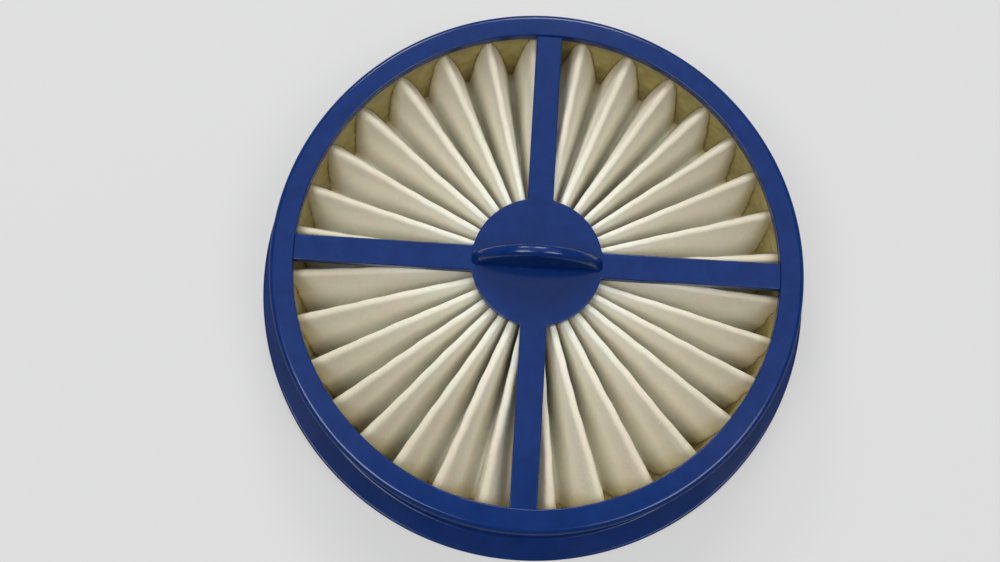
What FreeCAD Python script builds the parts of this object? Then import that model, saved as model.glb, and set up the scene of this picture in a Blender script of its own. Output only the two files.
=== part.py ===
import FreeCAD, Part
import math
import os
import Sketcher

# A round vacuum cleaner filter: a disc of pleated filter felt, potted with adhesive into a moulded
# ring that has a flange at its foot. Four spokes in the ring's mouth carry a hub with a half-moon
# finger grip. A second, flat grille closes the underside and a rubber ring seals the flange.
# The origin is the centre of the underside. +Z points up out of the mouth, +X runs along the grip.

doc = FreeCAD.newDocument("hepa_filter")
sheet = doc.addObject("Spreadsheet::Sheet", "sizes")

# Driving sizes in millimetres, angles in degrees
SIZES = (
    ("wall_radius", 69.8, "outside of the ring wall"),
    ("wall_thickness", 2.0, "ring wall"),
    ("wall_height", 26.5, "top of the flange to the top of the rim"),
    ("flange_width", 6.2, "flange beyond the wall"),
    ("flange_thickness", 1.8, "flange"),
    ("flange_root", 0.6, "slope where the wall meets the flange"),
    ("flange_edge_break", 0.5, "broken upper edge of the flange"),
    ("lip_overhang", 4.3, "rim lip, inwards from the wall"),
    ("lip_thickness", 2.7, "rim lip"),
    ("rim_round", 1.5, "round on the outer edge of the rim, made as two slopes"),
    ("edge_break", 0.35, "broken edges of mouth, spokes and hub"),
    ("hub_radius", 17.2, "hub disc"),
    ("spoke_width", 6.9, "spoke"),
    ("spoke_thickness", 2.85, "spokes and hub"),
    ("spoke_drop", 0.6, "rim top down to the spoke faces"),
    ("spoke_bite", 1.0, "how far a spoke runs into what it joins"),
    ("spoke_count", 4, "spokes in the mouth and in the grille"),
    ("corner_round", 0.6, "round in the corners between hub and spokes"),
    ("grip_height", 12.0, "finger grip above the hub face"),
    ("grip_thickness", 3.3, "finger grip"),
    ("grip_setback", 0.1, "end of the grip to the edge of the hub"),
    ("grip_crown_flat", 0.3, "flat left on the crest between the two rounds"),
    ("media_thickness", 0.5, "filter felt"),
    ("media_end_gap", 1.8, "outer ends of the pleats to the wall"),
    ("pleat_count", 32, "pleats round the disc"),
    ("splice_gap", 16.0, "angle between the two pleats beside the splice"),
    ("splice_angle", 268.5, "where the ends of the felt strip meet"),
    ("ridge_wide", 0.55, "inside round of a ridge at the rim"),
    ("ridge_narrow", 0.12, "inside round of a ridge at the hub"),
    ("valley_wide", 0.8, "inside round of a valley at the rim"),
    ("valley_narrow", 0.12, "inside round of a valley at the hub"),
    ("fold_gap", 0.2, "folds to the spokes above and to the grille below"),
    ("bead_slope", 2.5, "foot of the rim adhesive, inwards from its top"),
    ("core_inset", 2.7, "edge of the hub to the adhesive core"),
    ("grille_thickness", 2.4, "grille under the pleats"),
    ("grille_recess", 1.0, "grille face above the flange face"),
    ("grille_ring_width", 6.2, "ring of the grille"),
    ("rebate_step", 1.0, "rebate for the grille, outwards from the wall"),
    ("fit_gap", 0.1, "grille ring to its rebate"),
    ("seal_height", 1.5, "rubber ring under the flange"),
    ("seal_inset", 0.8, "rubber ring to the edges of the flange"),
)

for row, (alias, value, meaning) in enumerate(SIZES, 1):
    sheet.set(f"A{row}", meaning)
    sheet.set(f"B{row}", str(value))
    sheet.setAlias(f"B{row}", alias)
doc.recompute()


def number(expression):
    """What an expression on the sheet comes to now."""
    return float(sheet.evalExpression(expression))


def size(alias):
    return number(f"sizes.{alias}")


# Heights, all built up from the underside
FLANGE_FOOT = "sizes.seal_height"
FLANGE_TOP = f"({FLANGE_FOOT} + sizes.flange_thickness)"
RIM_TOP = f"({FLANGE_TOP} + sizes.wall_height)"
LIP_FOOT = f"({RIM_TOP} - sizes.lip_thickness)"
SPOKE_TOP = f"({RIM_TOP} - sizes.spoke_drop)"
SPOKE_FOOT = f"({SPOKE_TOP} - sizes.spoke_thickness)"
GRILLE_FOOT = f"({FLANGE_FOOT} + sizes.grille_recess)"
GRILLE_TOP = f"({GRILLE_FOOT} + sizes.grille_thickness)"

# Radii, all built up from the ring wall
WALL_INSIDE = "(sizes.wall_radius - sizes.wall_thickness)"
FLANGE_RADIUS = "(sizes.wall_radius + sizes.flange_width)"
MOUTH_RADIUS = f"({WALL_INSIDE} - sizes.lip_overhang)"
REBATE_RADIUS = f"({WALL_INSIDE} + sizes.rebate_step)"
GRILLE_RADIUS = f"({REBATE_RADIUS} - sizes.fit_gap)"
GRILLE_MOUTH = f"({GRILLE_RADIUS} - sizes.grille_ring_width)"
CORE_RADIUS = "(sizes.hub_radius - sizes.core_inset)"

# The middle of a quarter round lies this far in from each of the two faces that it joins
ROUND_SHARE = "(sizes.rim_round * (1 - sqrt(1 / 2)))"

# The half-moon of the grip is an arc through its height over a chord on the hub face
GRIP_REACH = "(sizes.hub_radius - sizes.grip_setback)"
GRIP_RADIUS = f"(({GRIP_REACH} ^ 2 + sizes.grip_height ^ 2) / (2 * sizes.grip_height))"
GRIP_CENTRE = f"({SPOKE_TOP} + sizes.grip_height - {GRIP_RADIUS})"

NEAR = 0.01


def new_body(label):
    body = doc.addObject("PartDesign::Body", label)
    body.Label = label
    return body


def origin_part(body, role):
    """One of the body's own origin planes or axes."""
    return next(part for part in body.Origin.OriginFeatures if part.Role == role)


def new_sketch(body, name, role, height=None):
    """A sketch on an origin plane of the body, lifted off it to a height."""
    sketch = body.newObject("Sketcher::SketchObject", name)
    sketch.AttachmentSupport = (origin_part(body, role), [""])
    sketch.MapMode = "FlatFace"
    if height:
        sketch.setExpression("AttachmentOffset.Base.z", height)
    return sketch


def bind(sketch, kind, elements, expression):
    """A dimension between sketch elements that follows the sheet."""
    place = sketch.addConstraint(Sketcher.Constraint(kind, *elements, number(expression)))
    sketch.setExpression(f"Constraints[{place}]", expression)


def outline(sketch, corners):
    """A closed outline of straight lines through corners given as (across, up) expressions."""
    points = [FreeCAD.Vector(number(across), number(up), 0) for across, up in corners]
    count = len(points)
    for index in range(count):
        sketch.addGeometry(Part.LineSegment(points[index], points[(index + 1) % count]), False)
    for index, (across, up) in enumerate(corners):
        follower = (index + 1) % count
        sketch.addConstraint(Sketcher.Constraint("Coincident", index, 2, follower, 1))
        bind(sketch, "DistanceX", (-1, 1, index, 1), across)
        bind(sketch, "DistanceY", (-1, 1, index, 1), up)


def disc(sketch, radius):
    sketch.addGeometry(Part.Circle(FreeCAD.Vector(), FreeCAD.Vector(0, 0, 1), number(radius)), False)
    sketch.addConstraint(Sketcher.Constraint("Coincident", 0, 3, -1, 1))
    bind(sketch, "Radius", (0,), radius)


def turned(body, name, corners):
    """A ring with the given section, turned about the upright axis."""
    sketch = new_sketch(body, name + "_section", "XZ_Plane")
    outline(sketch, corners)
    ring = body.newObject("PartDesign::Revolution", name)
    ring.Profile = sketch
    ring.ReferenceAxis = (sketch, ["V_Axis"])
    ring.Angle = 360
    body.Tip = ring
    doc.recompute()
    return ring


def raised(body, name, sketch, length):
    """A pad as long as the expression says."""
    pad = body.newObject("PartDesign::Pad", name)
    pad.Profile = sketch
    pad.setExpression("Length", length)
    body.Tip = pad
    doc.recompute()
    return pad


def edges_where(feature, test):
    """Names of the edges of a feature that pass the test, which is given five spots along each."""
    edges = enumerate(feature.Shape.Edges, 1)
    return [f"Edge{index}" for index, edge in edges if test(edge.discretize(5))]


def dressed(body, kind, name, amount, test):
    """Rounds or breaks the edges that pass the test on what the body is so far."""
    base = body.Tip
    names = edges_where(base, test)
    if not names:
        raise ValueError("no edge for " + name)
    dressing = body.newObject("PartDesign::" + kind, name)
    dressing.Base = (base, names)
    dressing.setExpression("Radius" if kind == "Fillet" else "Size", amount)
    body.Tip = dressing
    doc.recompute()


def rounded(body, name, radius, test):
    dressed(body, "Fillet", name, radius, test)


def broken(body, name, width, test):
    dressed(body, "Chamfer", name, width, test)


def ring_edge(radius, height):
    """A test for edges on the circle of that radius and height about the upright axis."""
    far = number(radius)
    high = number(height)

    def test(spots):
        return all(abs(math.hypot(spot.x, spot.y) - far) + abs(spot.z - high) < NEAR for spot in spots)

    return test


def hub_and_spokes(body, foot, reach):
    """A hub disc and the spokes that join it to the ring, as thick as the expression pair says."""
    bottom, thickness = foot
    hub_sketch = new_sketch(body, "hub_outline", "XY_Plane", bottom)
    disc(hub_sketch, "sizes.hub_radius")
    raised(body, "hub_disc", hub_sketch, thickness)
    spoke_sketch = new_sketch(body, "spoke_outline", "XY_Plane", bottom)
    start = "(sizes.hub_radius - sizes.spoke_bite)"
    side = "sizes.spoke_width / 2"
    outline(spoke_sketch, ((start, "-" + side), (reach, "-" + side), (reach, side), (start, side)))
    spoke = raised(body, "spoke", spoke_sketch, thickness)
    spokes = body.newObject("PartDesign::PolarPattern", "spokes")
    spokes.Originals = [spoke]
    spokes.Axis = (spoke_sketch, ["N_Axis"])
    spokes.Angle = 360
    spokes.Occurrences = int(size("spoke_count"))
    spokes.setExpression("Occurrences", "sizes.spoke_count")
    body.Tip = spokes
    doc.recompute()


def hub_corner(spots):
    """Whether an edge is an upright corner where the side of a spoke leaves the hub."""
    first, last = spots[0], spots[-1]
    upright = math.hypot(last.x - first.x, last.y - first.y) < NEAR
    return upright and abs(math.hypot(first.x, first.y) - size("hub_radius")) < NEAR


def face_edge(height):
    """A test for the outline of the hub and spokes at a height, up to the ring that they join."""
    high = number(height)
    mouth = number(MOUTH_RADIUS)
    hub = size("hub_radius")

    def test(spots):
        middle = math.hypot(spots[2].x, spots[2].y)
        level = all(abs(spot.z - high) < NEAR for spot in spots)
        return level and hub - NEAR < middle < mouth - NEAR

    return test


# The ring, its lip and flange, the spokes, the hub and the grip are one moulding
frame = new_body("frame")
turned(frame, "ring", (
    (REBATE_RADIUS, FLANGE_FOOT),
    (FLANGE_RADIUS, FLANGE_FOOT),
    (FLANGE_RADIUS, FLANGE_TOP),
    ("sizes.wall_radius", FLANGE_TOP),
    ("sizes.wall_radius", f"({RIM_TOP} - sizes.rim_round)"),
    (f"(sizes.wall_radius - {ROUND_SHARE})", f"({RIM_TOP} - {ROUND_SHARE})"),
    ("(sizes.wall_radius - sizes.rim_round)", RIM_TOP),
    (MOUTH_RADIUS, RIM_TOP),
    (MOUTH_RADIUS, LIP_FOOT),
    (WALL_INSIDE, LIP_FOOT),
    (WALL_INSIDE, GRILLE_TOP),
    (REBATE_RADIUS, GRILLE_TOP),
))
hub_and_spokes(frame, (SPOKE_FOOT, "sizes.spoke_thickness"), f"({MOUTH_RADIUS} + sizes.spoke_bite)")
rounded(frame, "hub_corners", "sizes.corner_round", hub_corner)
broken(frame, "face_edges", "sizes.edge_break", face_edge(SPOKE_TOP))

# The grip stands across the hub: a half-moon with its crest rounded over from both sides
grip_sketch = new_sketch(frame, "grip_outline", "XZ_Plane")
grip_top = FreeCAD.Vector(0, number(GRIP_CENTRE), 0)
sunk = f"({SPOKE_TOP} - sizes.spoke_thickness / 2)"
half_chord = f"sqrt({GRIP_RADIUS} ^ 2 - ({sunk} - {GRIP_CENTRE}) ^ 2)"
right_end = FreeCAD.Vector(number(half_chord), number(sunk), 0)
left_end = FreeCAD.Vector(-right_end.x, right_end.y, 0)
crest = FreeCAD.Vector(0, number(f"{GRIP_CENTRE} + {GRIP_RADIUS}"), 0)
grip_sketch.addGeometry(Part.Arc(right_end, crest, left_end), False)
grip_sketch.addGeometry(Part.LineSegment(left_end, right_end), False)
grip_sketch.addConstraint(Sketcher.Constraint("Coincident", 0, 2, 1, 1))
grip_sketch.addConstraint(Sketcher.Constraint("Coincident", 0, 1, 1, 2))
grip_sketch.addConstraint(Sketcher.Constraint("PointOnObject", 0, 3, -2))
grip_sketch.addConstraint(Sketcher.Constraint("Horizontal", 1))
bind(grip_sketch, "Radius", (0,), GRIP_RADIUS)
bind(grip_sketch, "DistanceY", (-1, 1, 0, 3), GRIP_CENTRE)
bind(grip_sketch, "DistanceY", (-1, 1, 1, 1), sunk)
grip = raised(frame, "grip", grip_sketch, "sizes.grip_thickness")
grip.SideType = "Symmetric"
doc.recompute()


def grip_edge(spots):
    """Whether an edge is one of the two arcs along the crest of the grip."""
    side = size("grip_thickness") / 2
    centre = FreeCAD.Vector(0, 0, number(GRIP_CENTRE))
    away = math.hypot(number(GRIP_RADIUS), side)
    return all(abs(abs(spot.y) - side) + abs((spot - centre).Length - away) < NEAR for spot in spots)


rounded(frame, "grip_crest", "(sizes.grip_thickness - sizes.grip_crown_flat) / 2", grip_edge)
broken(frame, "mouth_edge", "sizes.edge_break", ring_edge(MOUTH_RADIUS, RIM_TOP))
broken(frame, "flange_root", "sizes.flange_root", ring_edge("sizes.wall_radius", FLANGE_TOP))
broken(frame, "flange_top_edge", "sizes.flange_edge_break", ring_edge(FLANGE_RADIUS, FLANGE_TOP))

# The grille is flat: a ring that drops into the rebate of the frame, with spokes and a hub like
# those above it
grille = new_body("retaining_grille")
turned(grille, "grille_ring", (
    (GRILLE_MOUTH, GRILLE_FOOT),
    (GRILLE_RADIUS, GRILLE_FOOT),
    (GRILLE_RADIUS, GRILLE_TOP),
    (GRILLE_MOUTH, GRILLE_TOP),
))
hub_and_spokes(grille, (GRILLE_FOOT, "sizes.grille_thickness"), f"({GRILLE_MOUTH} + sizes.spoke_bite)")
rounded(grille, "grille_corners", "sizes.corner_round", hub_corner)

# The rubber ring is stuck under the flange
seal = new_body("flange_seal")
seal_inside = "(sizes.wall_radius + sizes.seal_inset)"
seal_outside = f"({FLANGE_RADIUS} - sizes.seal_inset)"
turned(seal, "seal_ring", (
    (seal_inside, "0 * sizes.seal_height"),
    (seal_outside, "0 * sizes.seal_height"),
    (seal_outside, FLANGE_FOOT),
    (seal_inside, FLANGE_FOOT),
))

# The pleats were laid by hand, so they drift from an even spacing. The drift is a sum of waves that
# are nil at the splice: (half waves round the disc, degrees).
DRIFT_WAVES = ((1, 0.72), (2, -1.56), (3, 2.12), (4, 1.24), (11, -0.53))


def ridge_angles():
    """Angles of the ridges in radians, round from one side of the splice to the other."""
    count = int(size("pleat_count"))
    gap = size("splice_gap")
    first = size("splice_angle") + gap / 2
    angles = []
    for index in range(count):
        share = index / (count - 1)
        drift = sum(swing * math.sin(waves * math.pi * share) for waves, swing in DRIFT_WAVES)
        angles.append(math.radians(first + share * (360 - gap) + drift))
    return angles


def valley_angles():
    """Angles of the valleys in radians: each lies halfway between two ridges, after its ridge."""
    ridges = ridge_angles()
    followers = ridges[1:] + [ridges[0] + 2 * math.pi]
    return [(ridge + follower) / 2 for ridge, follower in zip(ridges, followers)]


def around(radius, angle, height):
    return FreeCAD.Vector(radius * math.cos(angle), radius * math.sin(angle), height)


# A ridge is drawn with three straight steps and each half of a valley with one
RIDGE_STEPS = 3
VALLEY_STEPS = 1

# Sections along a pleat, from its hub end to its rim end
STATIONS = 3


def lean_of(ridge, valley, radii):
    """How far the outward normal of a flank points up, in radians.

    ridge and valley are the centres of the two rounds as (along, up). The flank touches both
    rounds from opposite sides, so the normal makes an angle with the line of centres whose cosine
    is the sum of the radii over the distance of the centres.
    """
    across = abs(valley[0] - ridge[0])
    down = valley[1] - ridge[1]
    return math.atan2(down, across) + math.acos(radii / math.hypot(across, down))


def fold_points(share, ridge_angle, beside, upper):
    """Points over one face of the felt across a pleat, from valley to ridge to valley.

    share is 0 at the hub end of the pleat and 1 at its rim end, and beside holds the angles of its
    two valleys. The section stands upright over the chord between them. Steps along arcs make the
    ridge and the two half valleys, and straight flanks touch them.
    """
    inner = number(CORE_RADIUS)
    outer = number(WALL_INSIDE) - size("media_end_gap")
    radius = inner + share * (outer - inner)
    ridge_inside = size("ridge_narrow") + share * (size("ridge_wide") - size("ridge_narrow"))
    valley_inside = size("valley_narrow") + share * (size("valley_wide") - size("valley_narrow"))
    felt = size("media_thickness")
    left, right = (around(radius, angle, 0) for angle in beside)
    along = (right - left).normalize()
    away = left - along * along.dot(left)
    bearing = math.atan2(away.y, away.x)
    ridge = (
        away.Length * math.tan(ridge_angle - bearing),
        number(SPOKE_FOOT) - size("fold_gap") - ridge_inside - felt,
    )
    trough = number(GRILLE_TOP) + size("fold_gap") + valley_inside + felt
    ridge_radius = ridge_inside + (felt if upper else 0)
    valley_radius = valley_inside + (0 if upper else felt)

    def spot(centre, reach, angle):
        across = centre[0] + reach * math.cos(angle)
        return away + along * across + FreeCAD.Vector(0, 0, centre[1] + reach * math.sin(angle))

    def arc(centre, reach, start, end, steps):
        return [spot(centre, reach, start + (end - start) * step / steps) for step in range(steps + 1)]

    leans = []
    valleys = []
    for end in (along.dot(left), along.dot(right)):
        valleys.append((end, trough))
        leans.append(lean_of(ridge, (end, trough), ridge_radius + valley_radius))
    lowest = -math.pi / 2
    return (
        arc(valleys[0], valley_radius, lowest, -leans[0], VALLEY_STEPS)
        + arc(ridge, ridge_radius, math.pi - leans[0], leans[1], RIDGE_STEPS)
        + arc(valleys[1], valley_radius, leans[1] - math.pi, lowest, VALLEY_STEPS)
    )


def facets(near, far):
    """Triangles between two rows of points, split so that the flanks swell towards the rim."""
    faces = []
    count = len(near) - 1
    for index in range(count):
        corners = (near[index], near[index + 1], far[index + 1], far[index])
        if index < count / 2:
            corners = (near[index + 1], far[index + 1], far[index], near[index])
        first, second, third, fourth = corners
        faces.append((first, second, third))
        faces.append((first, third, fourth))
    return faces


def folded_felt():
    """The whole folded sheet as one solid, with flat facets between the sections of each pleat."""
    after = valley_angles()
    before = [after[-1] - 2 * math.pi] + after[:-1]
    shares = [station / (STATIONS - 1) for station in range(STATIONS)]
    polygons = []
    for ridge, *valleys in zip(ridge_angles(), before, after):
        over, under = (
            [fold_points(share, ridge, valleys, upper) for share in shares] for upper in (True, False)
        )
        for face in (over, under):
            for near, far in zip(face, face[1:]):
                polygons += facets(near, far)
        polygons += [over[end] + under[end][::-1] for end in (0, -1)]
    faces = [Part.Face(Part.makePolygon(list(corners) + [corners[0]])) for corners in polygons]
    skin = Part.Shell(faces)
    skin.sewShape()
    return Part.Solid(skin)


media = doc.addObject("Part::Feature", "pleated_media")
media.Label = "pleated_media"
media.Shape = folded_felt()
media.Placement = FreeCAD.Placement()


def rim_pour():
    """The adhesive at the rim before the pleats are sunk in it, as a ring with a facet per pleat.

    Its corners lie at the valleys and its facets slope, so that the mouth is wider at the top.
    """
    foot = number(GRILLE_TOP)
    top = number(SPOKE_FOOT)
    angles = valley_angles()
    levels = ((foot, number(MOUTH_RADIUS) - size("bead_slope")), (top, number(MOUTH_RADIUS)))
    wires = []
    for height, radius in levels:
        corners = [around(radius, angle, height) for angle in angles]
        wires.append(Part.makePolygon(corners + [corners[0]]))
    ring = Part.makeCylinder(number(WALL_INSIDE), top - foot, FreeCAD.Vector(0, 0, foot))
    return ring.cut(Part.makeLoft(wires, True, True))


pour = doc.addObject("Part::Feature", "rim_pour")
pour.Shape = rim_pour()
pour.Placement = FreeCAD.Placement()
rim_potting = doc.addObject("Part::Cut", "rim_potting")
rim_potting.Label = "rim_potting"
rim_potting.Base = pour
rim_potting.Tool = media


def core():
    """The adhesive under the hub: a prism whose facets are stuck to the inner ends of the pleats."""
    foot = number(GRILLE_TOP)
    corners = [around(number(CORE_RADIUS), angle, foot) for angle in valley_angles()]
    base = Part.Face(Part.makePolygon(corners + [corners[0]]))
    return base.extrude(FreeCAD.Vector(0, 0, number(SPOKE_FOOT) - foot))


hub_potting = doc.addObject("Part::Feature", "hub_potting")
hub_potting.Label = "hub_potting"
hub_potting.Shape = core()
hub_potting.Placement = FreeCAD.Placement()

PIECES = (frame, grille, seal, media, rim_potting, hub_potting)

doc.recompute()
for item in doc.Objects:
    if "Invalid" in item.State or "Error" in item.State:
        raise ValueError(item.Name + " did not build")
for piece in PIECES:
    if piece.Shape.isNull() or not piece.Shape.isValid():
        raise ValueError(piece.Label + " is not a valid shape")
    print(piece.Label, len(piece.Shape.Solids), "solid", round(piece.Shape.Volume / 1000, 2), "cm3")

os.makedirs("parts", exist_ok=True)
for piece in PIECES:
    piece.Shape.exportStep(f"parts/{piece.Label}.step")
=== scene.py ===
# %% [markdown]
# # A round pleated filter
#
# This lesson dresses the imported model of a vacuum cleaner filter: a dark blue moulded ring with four
# spokes, a hub and a finger grip, and a disc of cream pleats that adhesive holds at the rim.
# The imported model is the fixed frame. Lengths below are written in millimetres in its coordinates,
# and are scaled by MM where they reach Blender, which works in metres.
#
# The pleats are what the eye goes to, so most of the work is in how they swell towards the rim and
# in how the adhesive meets them.

import math

import bpy
import numpy as np
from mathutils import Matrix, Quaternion, Vector


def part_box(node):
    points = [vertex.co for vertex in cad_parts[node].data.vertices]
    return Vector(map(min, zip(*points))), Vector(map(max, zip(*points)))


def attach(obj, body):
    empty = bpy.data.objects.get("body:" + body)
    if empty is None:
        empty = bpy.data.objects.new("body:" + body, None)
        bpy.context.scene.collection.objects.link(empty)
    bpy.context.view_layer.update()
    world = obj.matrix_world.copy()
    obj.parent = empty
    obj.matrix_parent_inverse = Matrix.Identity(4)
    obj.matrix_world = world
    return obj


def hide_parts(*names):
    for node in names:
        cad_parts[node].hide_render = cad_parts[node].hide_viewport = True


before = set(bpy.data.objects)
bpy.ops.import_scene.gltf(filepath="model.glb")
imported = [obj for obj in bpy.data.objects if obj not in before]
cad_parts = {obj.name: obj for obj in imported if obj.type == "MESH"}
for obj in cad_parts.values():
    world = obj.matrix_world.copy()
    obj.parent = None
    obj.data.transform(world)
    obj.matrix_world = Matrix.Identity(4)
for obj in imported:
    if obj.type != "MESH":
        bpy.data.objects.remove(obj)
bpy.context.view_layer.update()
MM = 0.001
print("nodes:", sorted(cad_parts))

# %% [markdown]
# ## Sizes
#
# Every size could be typed in, but heights and outer radii are read from the boxes of the nodes, so
# they always agree with the model. What a box can't tell, such as a wall or a round, is a named value.

# %% Read the sizes that the boxes give
frame_low, frame_high = (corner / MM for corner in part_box("frame"))
grille_low, grille_high = (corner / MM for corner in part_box("retaining_grille"))
seal_low, seal_high = (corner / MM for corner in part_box("flange_seal"))
_, pour_high = (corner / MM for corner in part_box("rim_potting"))
felt_low, _ = (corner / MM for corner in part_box("pleated_media"))

FLANGE_RADIUS = frame_high.x
FLANGE_FOOT = frame_low.z
GRIP_TOP = frame_high.z
GRILLE_RADIUS = grille_high.x
GRILLE_FOOT = grille_low.z
GRILLE_TOP = grille_high.z
WALL_INSIDE = pour_high.x
SPOKE_FOOT = pour_high.z
print(f"flange radius {FLANGE_RADIUS:.2f}, wall inside {WALL_INSIDE:.2f}, spoke foot {SPOKE_FOOT:.2f}")

# %% Name the sizes of the moulding
WALL_RADIUS = 69.8
WALL_HEIGHT = 26.5
FLANGE_THICKNESS = 1.8
LIP_OVERHANG = 4.3
LIP_THICKNESS = 2.7
REBATE_GAP = 0.1
HUB_RADIUS = 17.2
SPOKE_HALF_WIDTH = 3.45
SPOKE_THICKNESS = 2.85
CORNER_ROUND = 0.6
EDGE_ROUND = 0.35
RIM_ROUND = 1.5

FLANGE_TOP = FLANGE_FOOT + FLANGE_THICKNESS
RIM_TOP = FLANGE_TOP + WALL_HEIGHT
LIP_FOOT = RIM_TOP - LIP_THICKNESS
MOUTH_RADIUS = WALL_INSIDE - LIP_OVERHANG
REBATE_RADIUS = GRILLE_RADIUS + REBATE_GAP
SPOKE_TOP = SPOKE_FOOT + SPOKE_THICKNESS
print(f"rim top {RIM_TOP:.2f}, mouth radius {MOUTH_RADIUS:.2f}, spoke top {SPOKE_TOP:.2f}")

# %% [markdown]
# ## One way to make every piece
#
# Each new piece is a grid of points: rows of points that run round and close. The rows are joined by
# quads. A ring's rows close on each other too, and a plate's first and last rows are capped with one
# face each. So one small function turns any grid into a finished piece.
# Bevelled boxes and cylinders would be quicker, but their rounds wouldn't flow into each other.


# %% Join a grid into faces
def grid_faces(rows, columns, ring):
    """Quads (i, j), (i + 1, j), (i + 1, j + 1), (i, j + 1) of a grid whose columns close on each other.

    With ring set the rows close as well. Without it the first and last rows get one cap each.
    """
    steps = rows if ring else rows - 1
    i, j = np.meshgrid(np.arange(steps), np.arange(columns), indexing="ij")
    below = (i + 1) % rows
    beside = (j + 1) % columns
    corners = (i * columns + j, below * columns + j, below * columns + beside, i * columns + beside)
    faces = np.stack(corners, axis=-1).reshape(-1, 4).tolist()
    if not ring:
        first = np.arange(columns)
        faces.append(first.tolist())
        faces.append((first[::-1] + (rows - 1) * columns).tolist())
    return faces


print("faces of a tube with 3 rows of 4 points:", len(grid_faces(3, 4, ring=False)))

# %% Turn a grid of points into a piece
SHARP_CORNER = math.radians(40)


def put_in_scene(name, data):
    """A new object that holds the data, linked into the scene."""
    thing = bpy.data.objects.new(name, data)
    bpy.context.scene.collection.objects.link(thing)
    return thing


def volume_of(mesh):
    """Volume in cubic centimetres: the sum of the signed tetrahedra from the origin to each triangle."""
    mesh.calc_loop_triangles()
    spots = np.empty(len(mesh.vertices) * 3)
    mesh.vertices.foreach_get("co", spots)
    corners = np.empty(len(mesh.loop_triangles) * 3, dtype=np.int32)
    mesh.loop_triangles.foreach_get("vertices", corners)
    a, b, c = np.moveaxis(spots.reshape(-1, 3)[corners.reshape(-1, 3)], 1, 0)
    return float((a * np.cross(b, c)).sum()) / 6 * 1e6


def make_piece(name, grid, material, replaced, ring=False, facet_free=False):
    """A piece from a grid of points in millimetres, shaped (rows, columns, 3).

    Its flats and rounds are shaded by the weighted normals of its faces, with the sharp corners kept.
    A facet_free piece has no flats, so it is smooth all over.
    """
    rows, columns = grid.shape[:2]
    mesh = bpy.data.meshes.new(name)
    mesh.from_pydata((grid.reshape(-1, 3) * MM).tolist(), [], grid_faces(rows, columns, ring))
    mesh.materials.append(material)
    mesh.shade_smooth()
    piece = put_in_scene(name, mesh)
    if not facet_free:
        mesh.set_sharp_from_angle(angle=SHARP_CORNER)
        even = piece.modifiers.new("Even shading on flats", "WEIGHTED_NORMAL")
        even.keep_sharp = True
    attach(piece, "root")
    if replaced:
        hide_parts(replaced)
    volume = volume_of(mesh)
    print(f"{name}: {len(mesh.loop_triangles)} triangles, {volume:.2f} cm3")
    return piece


print("corners sharper than", round(math.degrees(SHARP_CORNER)), "degrees keep their edge")

# %% [markdown]
# ## Finishes
#
# Three effects come up in more than one material: soft clouds of colour, a fine grain and stray
# specks of dust. Each could be built again wherever it is needed. Here each is one node group with
# its own inputs, so a change in it reaches every material. The groups put out colours, masks and
# normals, and each material keeps its shader.


# %% Add nodes and link them
def give(tree, target, given):
    """Links an input from another node's socket, or sets it to a value."""
    if isinstance(given, bpy.types.NodeSocket):
        tree.links.new(given, target)
    else:
        target.default_value = given


def add_node(tree, kind, inputs, result, **settings):
    """One output of a new node, whose inputs are given by name or number."""
    made = tree.nodes.new("ShaderNode" + kind)
    for setting, value in settings.items():
        setattr(made, setting, value)
    for socket, given in inputs.items():
        give(tree, made.inputs[socket], given)
    return made.outputs[result]


def new_group(name, inputs, outputs):
    """An empty node group with the named sockets; gives the group, what enters it and what leaves it."""
    group = bpy.data.node_groups.new(name, "ShaderNodeTree")
    for label, kind in inputs:
        group.interface.new_socket(label, in_out="INPUT", socket_type="NodeSocket" + kind)
    for label, kind in outputs:
        group.interface.new_socket(label, in_out="OUTPUT", socket_type="NodeSocket" + kind)
    entry = group.nodes.new("NodeGroupInput").outputs
    leave = group.nodes.new("NodeGroupOutput").inputs
    return group, entry, leave


print("kinds of shader node:", sum(kind.startswith("ShaderNode") for kind in dir(bpy.types)))


# %% Make soft clouds of colour
def clouds_group():
    """Light and dark shades of a colour in soft drifting patches."""
    inputs = (("Vector", "Vector"), ("Scale", "Float"), ("Light", "Color"), ("Dark", "Color"))
    group, entry, leave = new_group("clouds", inputs, (("Color", "Color"),))
    field = {"Vector": entry["Vector"], "Scale": entry["Scale"], "Detail": 4.0, "Roughness": 0.6}
    noise = add_node(group, "TexNoise", field, "Fac")
    spread = add_node(
        group, "MapRange", {"Value": noise, "From Min": 0.32, "From Max": 0.68}, "Result")
    shades = {"A": entry["Dark"], "B": entry["Light"], "Factor": spread}
    give(group, leave["Color"], add_node(group, "Mix", shades, "Result", data_type="RGBA"))
    return group


CLOUDS = clouds_group()
print("effect:", CLOUDS.name)


# %% Make a fine grain
def grain_group():
    """A normal roughened by fine noise; Height is the depth of the grain in metres."""
    inputs = (("Vector", "Vector"), ("Scale", "Float"), ("Height", "Float"))
    group, entry, leave = new_group("grain", inputs, (("Normal", "Vector"),))
    field = {"Vector": entry["Vector"], "Scale": entry["Scale"], "Detail": 3.0, "Roughness": 0.55}
    noise = add_node(group, "TexNoise", field, "Fac")
    depth = add_node(group, "Math", {0: noise, 1: entry["Height"]}, "Value", operation="MULTIPLY")
    bump = add_node(group, "Bump", {"Distance": 1.0, "Height": depth}, "Normal")
    give(group, leave["Normal"], bump)
    return group


GRAIN = grain_group()
print("effect:", GRAIN.name)


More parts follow.
